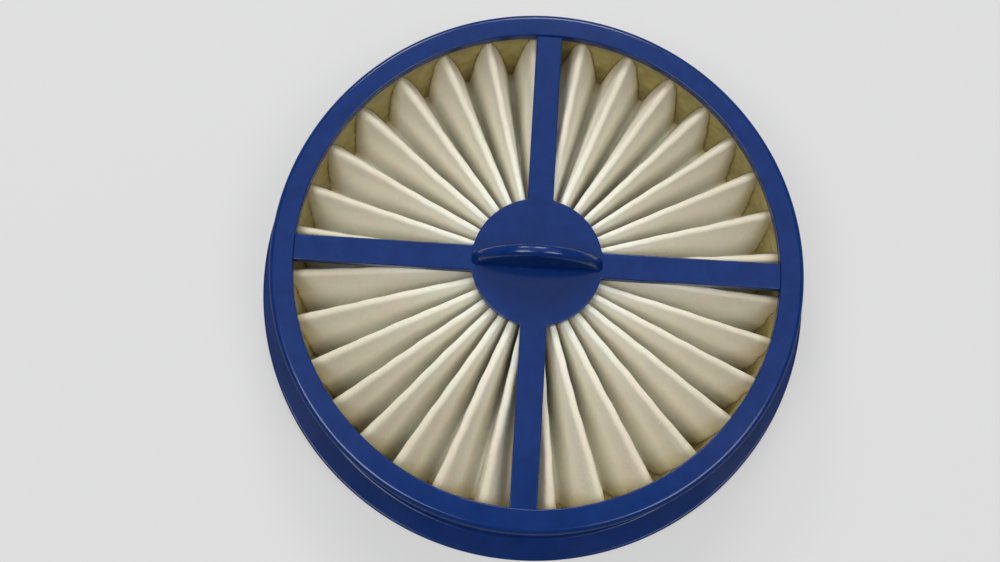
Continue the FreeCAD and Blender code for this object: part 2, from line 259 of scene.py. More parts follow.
# %% Make stray specks
def specks_group():
    """A mask of small round specks: one cell in a few holds a speck, which Share and Size set."""
    inputs = (("Vector", "Vector"), ("Scale", "Float"), ("Share", "Float"), ("Size", "Float"))
    group, entry, leave = new_group("specks", inputs, (("Mask", "Float"),))
    field = {"Vector": entry["Vector"], "Scale": entry["Scale"]}
    distance = add_node(group, "TexVoronoi", field, "Distance")
    cell = add_node(group, "SeparateColor", {"Color": distance.node.outputs["Color"]}, "Red")
    chosen = add_node(group, "Math", {0: cell, 1: entry["Share"]}, "Value", operation="LESS_THAN")
    near = add_node(group, "Math", {0: distance, 1: entry["Size"]}, "Value", operation="LESS_THAN")
    both = add_node(group, "Math", {0: chosen, 1: near}, "Value", operation="MULTIPLY")
    give(group, leave["Mask"], both)
    return group


SPECKS = specks_group()
print("effect:", SPECKS.name)


# %% Start a material
class Finish:
    """A material with a place to read from, and short ways to add nodes and feed its shader."""

    def __init__(self, name, **constants):
        self.material = bpy.data.materials.new(name)
        self.material.use_nodes = True
        self.tree = self.material.node_tree
        self.shader = self.tree.nodes["Principled BSDF"]
        self.place = self.node("TexCoord", {}, "Object")
        for socket, value in constants.items():
            self.feed(socket.replace("_", " "), value)

    def node(self, kind, inputs, result, **settings):
        return add_node(self.tree, kind, inputs, result, **settings)

    def feed(self, socket, given):
        """Gives one of the shader's own inputs a socket to read, or a value."""
        give(self.tree, self.shader.inputs[socket], given)

    def effect(self, group, place=None, **values):
        """One of the shared effects with its own values."""
        return self.node("Group", {"Vector": place or self.place, **values}, 0, node_tree=group)

    def stretched(self, scale):
        """The place on the piece, drawn out along an axis for streaks and fibres."""
        return self.node("Mapping", {"Vector": self.place, "Scale": scale}, "Vector")

    def ramp(self, value, bounds):
        """A share that goes from 0 to 1 while the value goes from the first bound to the second."""
        inputs = {"Value": value, "From Min": bounds[0], "From Max": bounds[1]}
        return self.node("MapRange", inputs, "Result")

    def mixed(self, first, second, share, way="MIX"):
        """One colour over another; each may be a socket or a colour, and share a socket or a number."""
        inputs = {"A": first, "B": second, "Factor": share}
        return self.node("Mix", inputs, "Result", data_type="RGBA", blend_type=way)


def grey(value):
    return (value, value, value, 1)


print("a middle grey is", grey(0.5))

# %% [markdown]
# ## Dark blue plastic
#
# The ring is moulded from glossy ABS. Its colour is nearly even, so the surface lives from what it
# reflects: the grip shows up as a dark picture of itself in the hub. A clear coat over a matt blue
# would also shine, but moulded plastic has no second layer. One glossy layer is truer, and slow
# changes in gloss, an orange-peel grain and a few specks of dust keep it from looking like glass.

# %% Make the blue plastic
BLUE = (0.0032, 0.030, 0.168, 1)
BLUE_DEEP = (0.0022, 0.023, 0.134, 1)
DUST = (0.55, 0.56, 0.56, 1)


def blue_plastic():
    finish = Finish("blue_plastic", Roughness=0.16, IOR=1.45)
    body = finish.effect(CLOUDS, Scale=260.0, Light=BLUE, Dark=BLUE_DEEP)
    dust = finish.effect(SPECKS, Scale=260.0, Share=0.02, Size=0.055)
    finish.feed("Base Color", finish.mixed(body, DUST, dust))
    gloss = finish.effect(CLOUDS, Scale=70.0, Light=grey(0.19), Dark=grey(0.13))
    finish.feed("Roughness", gloss)
    finish.feed("Normal", finish.effect(GRAIN, Scale=420.0, Height=0.000005))
    return finish.material


BLUE_PLASTIC = blue_plastic()
print("made", BLUE_PLASTIC.name)

# %% [markdown]
# ## The ring
#
# The ring, its lip and its flange are a body of revolution. A Screw modifier could spin a drawn
# section, but here a function rounds each corner first and then carries the outline round the
# upright axis, so every round has its true radius and the other rings can use it too.


# %% Round the corners of an outline
def round_corners(corners, steps=6):
    """A closed outline from corners given as (across, up, round).

    Each round is an arc that touches both sides of its corner at radius / tan(half the corner's
    angle). Its points swing evenly from the first touch to the second about the arc's centre.
    """
    places = np.array([corner[:2] for corner in corners], dtype=float)
    points = []
    for index, (_, _, radius) in enumerate(corners):
        here = places[index]
        to_last = places[index - 1] - here
        to_next = places[(index + 1) % len(places)] - here
        to_last = to_last / np.linalg.norm(to_last)
        to_next = to_next / np.linalg.norm(to_next)
        if not radius:
            points.append(here[None, :])
            continue
        half = math.acos(float(to_last @ to_next)) / 2
        bisector = (to_last + to_next) / np.linalg.norm(to_last + to_next)
        centre = here + bisector * radius / math.sin(half)
        start = here + to_last * radius / math.tan(half) - centre
        end = here + to_next * radius / math.tan(half) - centre
        turn = math.pi - 2 * half
        share = np.linspace(0, 1, steps + 1)[:, None]
        swing = (np.sin((1 - share) * turn) * start + np.sin(share * turn) * end) / math.sin(turn)
        points.append(centre + swing)
    return np.concatenate(points)


def turned(section, segments=288):
    """A section (radius, height) carried round the upright axis: (r cos a, r sin a, height)."""
    angle = np.linspace(0, 2 * math.pi, segments, endpoint=False)
    radius, height = section[:, :1], section[:, 1:]
    return np.stack((radius * np.cos(angle), radius * np.sin(angle), height + 0 * angle), axis=-1)


TRIANGLE = ((0, 0, 0), (3, 0, 1), (0, 4, 0))
print("points of a triangle with one round corner:", len(round_corners(TRIANGLE)))

# %% Make the ring
RING_SECTION = (
    (REBATE_RADIUS, FLANGE_FOOT, 0.1),
    (REBATE_RADIUS, GRILLE_TOP, 0),
    (WALL_INSIDE, GRILLE_TOP, 0.1),
    (WALL_INSIDE, LIP_FOOT, 0.3),
    (MOUTH_RADIUS, LIP_FOOT, 0.3),
    (MOUTH_RADIUS, RIM_TOP, EDGE_ROUND),
    (WALL_RADIUS, RIM_TOP, RIM_ROUND),
    (WALL_RADIUS, FLANGE_TOP, 0.8),
    (FLANGE_RADIUS, FLANGE_TOP, 0.6),
    (FLANGE_RADIUS, FLANGE_FOOT, 0.3),
)
make_piece(
    "moulded_ring", turned(round_corners(RING_SECTION)), BLUE_PLASTIC, "frame",
    ring=True)

# %% [markdown]
# ## Hub and spokes
#
# The hub and its four spokes are one flat plate. A disc and two bars could be joined by a boolean,
# but that leaves ragged faces where they meet. Here the outline is worked out for a quarter: the side
# of a spoke, a small round into the hub, the hub's own arc, and the same again in mirror image. The
# plate's edges are rounded by drawing the outline inwards as it nears the faces.


# %% Draw the outline of hub and spokes
def spoked_outline(hub, half_width, corner, reach, steps=8, arc_steps=28):
    """The closed outline of a hub with four spokes, and its outward normals.

    The round between a spoke and the hub is a circle that touches the spoke's side and the hub from
    outside, so its centre lies at hub + corner from the origin and at half_width + corner from the
    spoke's middle line.
    """
    centre = np.array([math.sqrt((hub + corner) ** 2 - (half_width + corner) ** 2), half_width + corner])
    to_hub = math.atan2(-centre[1], -centre[0])
    swing = np.linspace(-math.pi / 2, to_hub, steps + 1)
    corner_arc = centre + corner * np.stack((np.cos(swing), np.sin(swing)), axis=1)
    start = math.atan2(centre[1], centre[0])
    sweep = np.linspace(start, math.pi / 2 - start, arc_steps + 1)[1:-1]
    hub_arc = hub * np.stack((np.cos(sweep), np.sin(sweep)), axis=1)
    along = np.linspace(reach, centre[0], 14)[:-1]
    side = np.stack((along, 0 * along + half_width), axis=1)
    first_half = np.concatenate((side, corner_arc))
    quarter = np.concatenate((first_half, hub_arc, first_half[::-1, ::-1]))
    quarters = []
    for turn in range(4):
        c, s = round(math.cos(turn * math.pi / 2)), round(math.sin(turn * math.pi / 2))
        quarters.append(quarter @ np.array([[c, s], [-s, c]]))
    outline = np.concatenate(quarters)
    ahead = np.roll(outline, -1, axis=0) - np.roll(outline, 1, axis=0)
    normals = np.stack((ahead[:, 1], -ahead[:, 0]), axis=1)
    return outline, normals / np.linalg.norm(normals, axis=1, keepdims=True)


def plate(outline, normals, foot, top, edge, steps=4):
    """A flat plate: from its top face, over a quarter round, down the side and round to its foot.

    A ring of points lies at outline - inset * normal. The inset goes edge * (1 - sin a) while the
    height goes top - edge * (1 - cos a), which is a quarter circle.
    """
    turn = np.linspace(0, math.pi / 2, steps + 1)
    inset = edge * (1 - np.sin(turn))
    drop = edge * (1 - np.cos(turn))
    insets = np.concatenate((inset, inset[::-1]))
    heights = np.concatenate((top - drop, foot + drop[::-1]))
    flat = outline[None] - insets[:, None, None] * normals[None]
    return np.concatenate((flat, np.broadcast_to(heights[:, None, None], flat.shape[:2] + (1,))), axis=2)


SPOKE_BITE = 1.0
hub_outline = spoked_outline(HUB_RADIUS, SPOKE_HALF_WIDTH, CORNER_ROUND, MOUTH_RADIUS + SPOKE_BITE)
print("points of the outline:", len(hub_outline[0]))

# %% Make the hub and spokes
hub_plate = plate(*hub_outline, SPOKE_FOOT, SPOKE_TOP, EDGE_ROUND)
make_piece("hub_and_spokes", hub_plate, BLUE_PLASTIC, "frame")

# %% [markdown]
# ## Finger grip
#
# The grip is a half-moon that stands across the hub, for a thumb and a finger. Seen from its side it
# is an arc over a chord, and its crest is rounded over from both faces. A half disc with a Bevel
# modifier comes close, but its round stops short at the pointed ends. So a section is carried along
# the arc: each row of points stands on one ray from the arc's centre, and stops at the chord inside
# the plate.

# %% Make the finger grip
GRIP_SETBACK = 0.1
GRIP_REACH = HUB_RADIUS - GRIP_SETBACK
GRIP_HALF_THICKNESS = 1.65
GRIP_CREST_ROUND = 1.5
GRIP_ROOT_ROUND = 0.5


def half_moon(reach, height, foot, chord, steps=97, side_steps=10):
    """The skin of the grip, row by row from one end to the other.

    The arc over the chord has the radius (reach^2 + height^2) / (2 height). On the ray at angle a
    from upright, the crest round has the distance R - r (1 - cos b) and the side distance
    flat + r sin b, for b from 0 at the crest to 90 degrees at the face. Below it the face runs
    straight down to the chord, and flares a little just above the hub.
    """
    radius = (reach ** 2 + height ** 2) / (2 * height)
    centre = foot + height - radius
    limit = math.acos((chord - centre) / radius) * 0.999
    ray = np.linspace(-limit, limit, steps)[:, None]
    turn = np.linspace(math.pi / 2, 0, 9)[None, :]
    flat = GRIP_HALF_THICKNESS - GRIP_CREST_ROUND
    crest = radius - GRIP_CREST_ROUND * (1 - np.cos(turn)) + 0 * ray
    crest_side = flat + GRIP_CREST_ROUND * np.sin(turn) + 0 * ray
    base = (chord - centre) / np.cos(ray)
    share = np.linspace(0, 1, side_steps, endpoint=False)[None, :]
    below = base + (crest[:, :1] - base) * share
    reach_out = np.concatenate((below, crest), axis=1)
    reach_out = np.maximum(reach_out, base)
    over_hub = centre + reach_out * np.cos(ray) - foot
    flare = GRIP_ROOT_ROUND * np.clip(1 - over_hub / GRIP_ROOT_ROUND, 0, 1) ** 2
    sides = np.concatenate((0 * below + GRIP_HALF_THICKNESS, crest_side), axis=1) + flare
    x = reach_out * np.sin(ray)
    z = centre + reach_out * np.cos(ray)
    south = np.stack((x, -sides, z), axis=-1)
    north = np.stack((x, sides, z), axis=-1)
    return np.concatenate((south, north[:, ::-1]), axis=1)


grip_chord = (SPOKE_TOP + SPOKE_FOOT) / 2
grip_skin = half_moon(GRIP_REACH, GRIP_TOP - SPOKE_TOP, SPOKE_TOP, grip_chord)
make_piece("finger_grip", grip_skin, BLUE_PLASTIC, "frame")

# %% [markdown]
# ## Grille and sealing ring
#
# The underside is closed by a flat grille in the same plastic, and a matt rubber ring is stuck under
# the flange. They could be plain tubes and boxes, since they are seldom seen. But the functions above
# already round every edge, so they cost only a section each.

# %% Make the grille
GRILLE_RIM_WIDTH = 6.2
GRILLE_MOUTH = GRILLE_RADIUS - GRILLE_RIM_WIDTH
GRILLE_SECTION = (
    (GRILLE_MOUTH, GRILLE_FOOT, 0.4),
    (GRILLE_MOUTH, GRILLE_TOP, 0.4),
    (GRILLE_RADIUS, GRILLE_TOP, 0.2),
    (GRILLE_RADIUS, GRILLE_FOOT, 0.3),
)
make_piece(
    "grille_ring", turned(round_corners(GRILLE_SECTION)), BLUE_PLASTIC,
    "retaining_grille", ring=True)
grille_outline = spoked_outline(HUB_RADIUS, SPOKE_HALF_WIDTH, CORNER_ROUND, GRILLE_MOUTH + SPOKE_BITE)
grille_plate = plate(*grille_outline, GRILLE_FOOT, GRILLE_TOP, EDGE_ROUND)
make_piece("grille_spokes", grille_plate, BLUE_PLASTIC, "retaining_grille")


# %% Make the sealing ring
def seal_rubber():
    finish = Finish("seal_rubber", Roughness=0.75, IOR=1.5)
    body = finish.effect(CLOUDS, Scale=60.0, Light=grey(0.035), Dark=grey(0.022))
    dust = finish.effect(SPECKS, Scale=500.0, Share=0.06, Size=0.12)
    finish.feed("Base Color", finish.mixed(body, grey(0.3), dust))
    finish.feed("Normal", finish.effect(GRAIN, Scale=900.0, Height=0.00004))
    return finish.material


SEAL_MOUTH = WALL_RADIUS + 0.8
SEAL_SECTION = (
    (SEAL_MOUTH, seal_low.z, 0.5),
    (SEAL_MOUTH, seal_high.z, 0),
    (seal_high.x, seal_high.z, 0),
    (seal_high.x, seal_low.z, 0.5),
)
make_piece(
    "sealing_ring", turned(round_corners(SEAL_SECTION)), seal_rubber(),
    "flange_seal", ring=True)

# %% [markdown]
# ## Where the pleats lie
#
# There are 32 pleats. They were folded by machine but laid round the hub by hand, so their spacing
# drifts. A random shift for each ridge would make neighbours jump. The drift is a sum of a few waves
# instead, which are nil at the splice, under the front spoke, where the ends of the felt strip meet.
#
# At the back a valley lies halfway between two ridges. On both sides of the splice the pleats lean
# away from it, so there a valley lies nearer the ridge on the splice's side.

# %% Place ridges and valleys
PLEATS = 32
SPLICE_ANGLE = 268.5
SPLICE_GAP = 16.0
DRIFT_WAVES = ((1, 0.72), (2, -1.56), (3, 2.12), (4, 1.24), (11, -0.53))
LEAN = 0.25
FULL_TURN = 2 * math.pi


def ridge_angles():
    """Even spacing from one side of the splice to the other, plus the drift, in radians."""
    share = np.arange(PLEATS) / (PLEATS - 1)
    drift = sum(swing * np.sin(waves * math.pi * share) for waves, swing in DRIFT_WAVES)
    return np.radians(SPLICE_ANGLE + SPLICE_GAP / 2 + share * (360 - SPLICE_GAP) + drift)


ridges = ridge_angles()
next_ridges = np.append(ridges[1:], ridges[0] + FULL_TURN)
from_splice = (ridges + next_ridges) / 2 - math.radians(SPLICE_ANGLE)
lean = -LEAN * np.clip(np.cos(from_splice), 0, 1) * np.sign(np.sin(from_splice))
lean[-1] = 0
valleys_after = ridges + (0.5 + lean) * (next_ridges - ridges)
valleys_before = np.append(valleys_after[-1] - FULL_TURN, valleys_after[:-1])
print("ridges in degrees:", np.degrees(ridges).round(1) % 360)

# %% [markdown]
# ## The adhesive at the rim
#
# Before the felt itself comes the surface of the adhesive, because the felt is stained where it
# meets it. The pleats stand in a bead of polyurethane that was poured against the wall. Its face is
# nearly upright, it creeps up along the felt as a liquid does on a wall, and at the foot of a valley
# it has run a few millimetres towards the hub. How far it ran differs from valley to valley, and on
# the left the face is steeper than elsewhere.
#
# A fluid simulation would pool the adhesive, but its edge would be blurred by the size of its cells.
# A formula for the radius of the face gives a clean edge, and the felt can read its stain from it.

# %% Say how far the adhesive ran in
POUR_FOOT_RADIUS = MOUTH_RADIUS - 0.1
STEEP_BY = 0.8
STEEP_TOWARDS = 185.0
RUN_LEAST = 0.25
RUN_MORE = 2.3
RUN_TOWARDS = 305.0
luck = np.random.default_rng(32)
run_luck = luck.uniform(0.6, 1.4, PLEATS)


def foot_of(valley):
    """Radius of the foot of the adhesive's face in a valley, in millimetres: largest on the left."""
    facing = np.cos(valleys_after - math.radians(STEEP_TOWARDS))
    return (POUR_FOOT_RADIUS + STEEP_BY * np.clip(facing, 0, 1))[valley]


def run_of(valley):
    """How far the adhesive ran in at a valley's foot, in millimetres: most at the front right."""
    facing = np.cos(valleys_after - math.radians(RUN_TOWARDS))
    return ((RUN_LEAST + RUN_MORE * np.clip(facing, 0, 1) ** 1.5) * run_luck)[valley]


print("adhesive runs in by", run_of(np.arange(PLEATS)).round(1))

# %% Describe the face of the adhesive
FELT = 0.5
VALLEY_FLOOR = felt_low.z + FELT
POUR_TOP_RADIUS = MOUTH_RADIUS + 0.9
RUN_HEIGHT = 1.4
CREEP = 0.4
CREEP_WIDTH = 0.5
VALLEY_HALF_WIDTH = 0.8
ARCH_POWER = {"left": 0.50, "right": 0.55}
wobble_phase = luck.uniform(0, FULL_TURN, (3, PLEATS))


def rise_of(height):
    """A height as a share of the way from the valley floor up to the spokes."""
    return np.clip((height - VALLEY_FLOOR) / (SPOKE_FOOT - VALLEY_FLOOR), 0, 1)


def distance_to_flank(offset, half_pitch, height):
    """Distance to the nearest flank, from a place given by its offset from the valley's middle.

    At the rim a pleat is an arch: half its width is a span times depth to a power, where the span is
    the half pitch less the half width of the valley's round floor.
    """
    power = np.where(offset < 0, ARCH_POWER["left"], ARCH_POWER["right"])
    span = half_pitch - VALLEY_HALF_WIDTH
    flank = half_pitch - span * (1 - rise_of(height)) ** power
    return np.abs(np.abs(offset) - flank)


def pour_radius(valley, offset, half_pitch, height):
    """Radius of the adhesive's face. All lengths are in millimetres.

    It slopes evenly from its top to its foot. Taken off are the run, which dies away with
    exp(-height above the valley floor / run height), and the creep, which dies away with
    exp(-distance from the nearest flank / creep width). Slow waves make all of it uneven.
    """
    to_flank = distance_to_flank(offset, half_pitch, height)
    above = np.clip(height - VALLEY_FLOOR, 0, None)
    waves = sum(
        np.sin(height * pace + offset * tilt + wobble_phase[row][valley])
        for row, (pace, tilt) in enumerate(((0.5, 0.9), (0.9, -0.7), (1.7, 0.4))))
    run = run_of(valley) * np.exp(-above / RUN_HEIGHT) * (1 + 0.12 * waves)
    creep = CREEP * np.exp(-to_flank / CREEP_WIDTH) * (1 + 0.15 * waves)
    foot = foot_of(valley)
    return foot + (POUR_TOP_RADIUS - foot) * rise_of(height) - run - creep - 0.05 * waves


even_half_pitch = math.pi / PLEATS * MOUTH_RADIUS
half_way = pour_radius(np.arange(PLEATS), 0.0, even_half_pitch, (VALLEY_FLOOR + SPOKE_FOOT) / 2)
print("radii of the face half way up:", half_way.round(1))

# %% [markdown]
# ## The folded felt
#
# The felt is one sheet. Across a pleat its section is an arc over the ridge, two straight flanks and
# half an arc in each valley. The arcs grow towards the rim. The flanks swell beside the hub, where
# the folds are crowded, and at the rim, where the adhesive holds them open. Both faces of the sheet
# come from the same formula, one of them moved by the felt's thickness, so the sheet keeps it.
#
# A cloth simulation could fold it, but then the ridges wouldn't fall where they lie on the real one.

# %% Describe the section of a pleat
FOLD_GAP = 0.2
HUB_OVERHANG = 2.7
WALL_DISTANCE = 1.8
CORE_RADIUS = HUB_RADIUS - HUB_OVERHANG
FELT_RADIUS = WALL_INSIDE - WALL_DISTANCE
RIDGE_ROUNDS = (0.12, 0.55)
VALLEY_ROUNDS = (0.12, VALLEY_HALF_WIDTH)
VALLEY_STEPS = 3
FLANK_STEPS = 10
RIDGE_STEPS = 8
RIM_STRETCH = 3.5
CORE_POWER = 0.18
WAVER = 0.16
stations = np.concatenate((
    np.linspace(0, 1, 30, endpoint=False) * (FELT_RADIUS - RIM_STRETCH - CORE_RADIUS),
    FELT_RADIUS - RIM_STRETCH - CORE_RADIUS + np.linspace(0, 1, 7) * RIM_STRETCH,
)) / (FELT_RADIUS - CORE_RADIUS)
print("stations from core to wall:", len(stations))


def lean_of(across, down, radii):
    """How far a flank's normal points up: the slope between the centres plus the turn to a tangent."""
    return np.arctan2(down, across) + np.arccos(radii / np.hypot(across, down))


def arc_points(centre, reach, start, end, steps):
    """Points on an arc about a centre, from one angle to the other."""
    share = np.linspace(0, 1, steps + 1)
    angle = start[..., None] * (1 - share) + end[..., None] * share
    return np.stack((centre[0][..., None] + reach[..., None] * np.cos(angle),
                     centre[1][..., None] + reach[..., None] * np.sin(angle)))


def between(first, last):
    """Points inside a straight flank, closer together near its first end."""
    share = np.linspace(0, 1, FLANK_STEPS + 2)[1:-1] ** 1.4
    return first[..., -1:] * (1 - share) + last[..., :1] * share


# %% Draw the chord of every pleat
def chords():
    """The chord between the valleys of each pleat, at every station.

    Gives the chord's middle, its direction, and where on it the two valleys lie.
    """
    radius = CORE_RADIUS + stations[None, :] * (FELT_RADIUS - CORE_RADIUS)
    left, right = (
        np.stack((radius * np.cos(angle[:, None]), radius * np.sin(angle[:, None])), axis=-1)
        for angle in (valleys_before, valleys_after))
    along = (right - left) / np.linalg.norm(right - left, axis=-1, keepdims=True)
    away = left - along * (along * left).sum(-1, keepdims=True)
    return away, along, (along * left).sum(-1), (along * right).sum(-1)


print("pleats and stations:", chords()[0].shape[:2])

# %% Work out the section of every pleat
arch_luck = luck.uniform(0.75, 1.0, (PLEATS, 1, 1))
lean_luck = luck.uniform(-1, 1, (3, PLEATS, 1))


def pleat_sections():
    """The upper face of every pleat at every station, as (across, height) in the plane of its chord.

    Each section is an arc over the ridge, a straight flank on either side that touches it, and half
    an arc in each valley. Points that lie inside the arch span * depth ^ power then move outwards to
    it at their own height. How far they go is a weight: 1 at the core, where the felt is crowded,
    about 0.4 on the way out, and up to 1 again at the rim. The crest wavers a little on its way.
    """
    share = stations[None, :]
    away, _, left, right = chords()
    ridge_reach = RIDGE_ROUNDS[0] + share * (RIDGE_ROUNDS[1] - RIDGE_ROUNDS[0]) + FELT + 0 * left
    valley_reach = VALLEY_ROUNDS[0] + share * (VALLEY_ROUNDS[1] - VALLEY_ROUNDS[0]) + 0 * left
    bearing = np.arctan2(away[..., 1], away[..., 0])
    off_centre = (ridges[:, None] - bearing + math.pi) % FULL_TURN - math.pi
    waver = WAVER * np.sin(math.pi * share) * (
        lean_luck[0] * np.sin(4 * share + 3 * lean_luck[1]) + 0.6 * lean_luck[2] * np.sin(11 * share)
        + 0.5 * np.sin(37 * share + 9 * lean_luck[1]))
    crest = np.linalg.norm(away, axis=-1) * np.tan(off_centre) + waver
    ridge = (crest, SPOKE_FOOT - FOLD_GAP - ridge_reach)
    trough = GRILLE_TOP + FOLD_GAP + valley_reach + FELT
    leans = [
        lean_of(np.abs(end - crest), trough - ridge[1], ridge_reach + valley_reach)
        for end in (left, right)]
    lowest = np.full_like(left, -math.pi / 2)
    first_valley = arc_points((left, trough), valley_reach, lowest, -leans[0], VALLEY_STEPS)
    over_ridge = arc_points(ridge, ridge_reach, math.pi - leans[0], leans[1], RIDGE_STEPS)
    last_valley = arc_points((right, trough), valley_reach, leans[1] - math.pi, lowest, VALLEY_STEPS)
    section = np.concatenate((
        first_valley, between(first_valley, over_ridge), over_ridge,
        between(over_ridge, last_valley), last_valley), axis=-1)
    across, height = section
    top, bottom = height.max(-1, keepdims=True), height.min(-1, keepdims=True)
    depth = np.clip((top - height) / (top - bottom), 0, 1)
    from_crest = across - crest[..., None]
    half_pitch = np.where(from_crest < 0, (crest - left)[..., None], (right - crest)[..., None])
    rim_power = np.where(from_crest < 0, ARCH_POWER["right"], ARCH_POWER["left"])
    way_out = share[..., None]
    rim_weight = arch_luck * way_out ** 2
    core_weight = (1 - way_out) ** 0.9
    span = half_pitch - valley_reach[..., None]
    arch = span * depth ** (CORE_POWER + (rim_power - CORE_POWER) * way_out)
    inside_arch = np.maximum(arch - np.abs(from_crest), 0)
    moved = np.abs(from_crest) + np.maximum(rim_weight, core_weight) * inside_arch
    return crest[..., None] + np.sign(from_crest) * moved, height


print("points across a pleat:", pleat_sections()[0].shape[-1])


# %% Fold the sheet
def felt_face(thickness):
    """One face of the sheet, shaped (stations, pleats * points across, 3).

    Each point of the upper face moves back by the thickness along the section's normal, which is its
    direction turned by a quarter. In the valleys, where two pleats meet, the normal is upright.
    """
    across, height = pleat_sections()
    ahead = np.gradient(np.stack((across, height)), axis=-1)
    ahead /= np.linalg.norm(ahead, axis=0)
    ahead[:, :, :, 0] = ahead[:, :, :, -1] = np.array([1.0, 0.0])[:, None, None]
    across = (across + thickness * ahead[1])[..., :-1]
    height = (height - thickness * ahead[0])[..., :-1]
    away, along, _, _ = chords()
    flat = away[:, :, None, :] + along[:, :, None, :] * across[..., None]
    points = np.concatenate((flat, height[..., None]), axis=-1)
    return np.moveaxis(points, 1, 0).reshape(len(stations), -1, 3)


over, under = felt_face(0.0), felt_face(FELT)
felt_skin = np.concatenate((over, under[::-1]))
print("points of the felt:", felt_skin.shape[0] * felt_skin.shape[1])

# %% Measure the gap to the adhesive
CREST_CLEAN_FROM = 20.0
CREST_CLEAN_BY = 1.5


def felt_gap(points):
    """Distance in millimetres from points on the felt out to the face of the adhesive.

    The crest of a pleat stays cleaner, so a little is added towards it.
    """
    per_pleat = points.reshape(points.shape[0], PLEATS, -1, 3)
    angle = np.arctan2(per_pleat[..., 1], per_pleat[..., 0])
    from_ridge = (angle - ridges[None, :, None] + math.pi) % FULL_TURN - math.pi
    here = np.arange(PLEATS)[None, :, None]
    valley = np.where(from_ridge < 0, (here - 1) % PLEATS, here)
    half_gap = np.where(from_ridge < 0, (ridges - valleys_before)[here], (valleys_after - ridges)[here])
    offset = (half_gap - np.abs(from_ridge)) * MOUTH_RADIUS
    radius = np.hypot(per_pleat[..., 0], per_pleat[..., 1])
    face = pour_radius(valley, offset, half_gap * MOUTH_RADIUS, per_pleat[..., 2])
    near_crest = np.clip((per_pleat[..., 2] - CREST_CLEAN_FROM) / (SPOKE_FOOT - CREST_CLEAN_FROM), 0, 1)
    return (face - radius + CREST_CLEAN_BY * near_crest).reshape(points.shape[:2])


gap_of_felt = felt_gap(felt_skin)
print(f"gaps from {gap_of_felt.min():.1f} to {gap_of_felt.max():.1f} mm")

# %% [markdown]
# ## Felt as a finish
#
# Filter felt is matt and made of fine fibres that catch the light in the fold. Its cream colour
# drifts a little towards green and pink. Towards the rim it is darker, more on the crests than in
# the valleys: partly dust, and partly painted shade that stands in for the shadow of the lip. The gap
# to the adhesive is stored on the mesh, and the finish turns it into a stain: amber inside, a thin
# browner line where the adhesive dried, and a yellow tinge beyond.
#
# The stain could be painted into an image, but a stored gap stays sharp at any zoom and follows the
# adhesive when its formula changes.

# %% Choose the colours of the felt
CREAM = (0.97, 0.935, 0.835, 1)
CREAM_DARK = (0.94, 0.895, 0.785, 1)
# Towards the rim and up on the crests the felt is darkened: partly dust, partly painted shade of the
# lip.
RIM_DUST_AND_SHADE = (0.77, 0.735, 0.665, 1)
DUST_AND_SHADE_RADII = (0.022, 0.062)
DUST_AND_SHADE_HEIGHTS = (0.010, 0.024)
PINKISH = (1.0, 0.965, 0.95, 1)
GREENISH = (0.96, 1.0, 0.95, 1)
GAP_ATTRIBUTE = "adhesive_gap"
STAIN_STEPS = (
    (0.00, (0.42, 0.33, 0.14, 1)),
    (0.13, (0.42, 0.33, 0.14, 1)),
    (0.16, (0.38, 0.29, 0.14, 1)),
    (0.20, (0.68, 0.60, 0.40, 1)),
    (0.32, (0.82, 0.775, 0.61, 1)),
    (0.80, (1.0, 1.0, 1.0, 1)),
)
STAIN_BOUNDS = (-1.0, 6.0)
STAIN_WANDER = 0.6
print(len(STAIN_STEPS), "steps from adhesive to clean felt")


# %% Make the felt finish
def filter_felt():
    finish = Finish("filter_felt", Roughness=0.95, IOR=1.45, Sheen_Weight=0.15, Sheen_Roughness=0.5,
                    Subsurface_Weight=1.0, Subsurface_Scale=0.0004, Subsurface_Radius=(1.0, 0.9, 0.75))
    upwards = finish.stretched((1, 1, 0.5))
    fibres = finish.effect(CLOUDS, upwards, Scale=900.0, Light=CREAM, Dark=CREAM_DARK)
    tinge = finish.effect(CLOUDS, Scale=130.0, Light=PINKISH, Dark=GREENISH)
    # Painted shade and dust: darker towards the rim and higher up, so the crests near the lip darken
    # most.
    flat = finish.node("VectorMath", {0: finish.place, 1: (1, 1, 0)}, "Vector", operation="MULTIPLY")
    from_axis = finish.node("VectorMath", {0: flat}, "Value", operation="LENGTH")
    height = finish.node("SeparateXYZ", {0: finish.place}, "Z")
    shares = {0: finish.ramp(from_axis, DUST_AND_SHADE_RADII), 1: finish.ramp(height, DUST_AND_SHADE_HEIGHTS)}
    dust_and_shade_share = finish.node("Math", shares, "Value", operation="MULTIPLY")
    dust = finish.mixed((1, 1, 1, 1), RIM_DUST_AND_SHADE, dust_and_shade_share)
    felt = finish.mixed(finish.mixed(fibres, tinge, 1.0, "MULTIPLY"), dust, 1.0, "MULTIPLY")
    gap = finish.node("Attribute", {}, "Fac", attribute_name=GAP_ATTRIBUTE)
    wander = finish.node("TexNoise", {"Vector": finish.place, "Scale": 700.0}, "Fac")
    edge = {0: wander, 1: STAIN_WANDER, 2: gap}
    uneven_gap = finish.node("Math", edge, "Value", operation="MULTIPLY_ADD")
    along = finish.ramp(uneven_gap, [bound + STAIN_WANDER / 2 for bound in STAIN_BOUNDS])
    stain = finish.node("ValToRGB", {"Fac": along}, "Color")
    steps = stain.node.color_ramp.elements
    for index, (place, colour) in enumerate(STAIN_STEPS):
        step = steps[index] if index < 2 else steps.new(place)
        step.position = place
        step.color = colour
    stained = finish.mixed(felt, stain, 1.0, "MULTIPLY")
    finish.feed("Base Color", stained)
    finish.feed("Normal", finish.effect(GRAIN, Scale=1800.0, Height=0.00012))
    return finish.material


FILTER_FELT = filter_felt()
print("made", FILTER_FELT.name)


# %% Make the folded felt
def store(piece, name, values):
    """Keeps one number per point on a piece's mesh, for its finish to read."""
    attribute = piece.data.attributes.new(name, "FLOAT", "POINT")
    attribute.data.foreach_set("value", np.ascontiguousarray(values, dtype=np.float32).ravel())


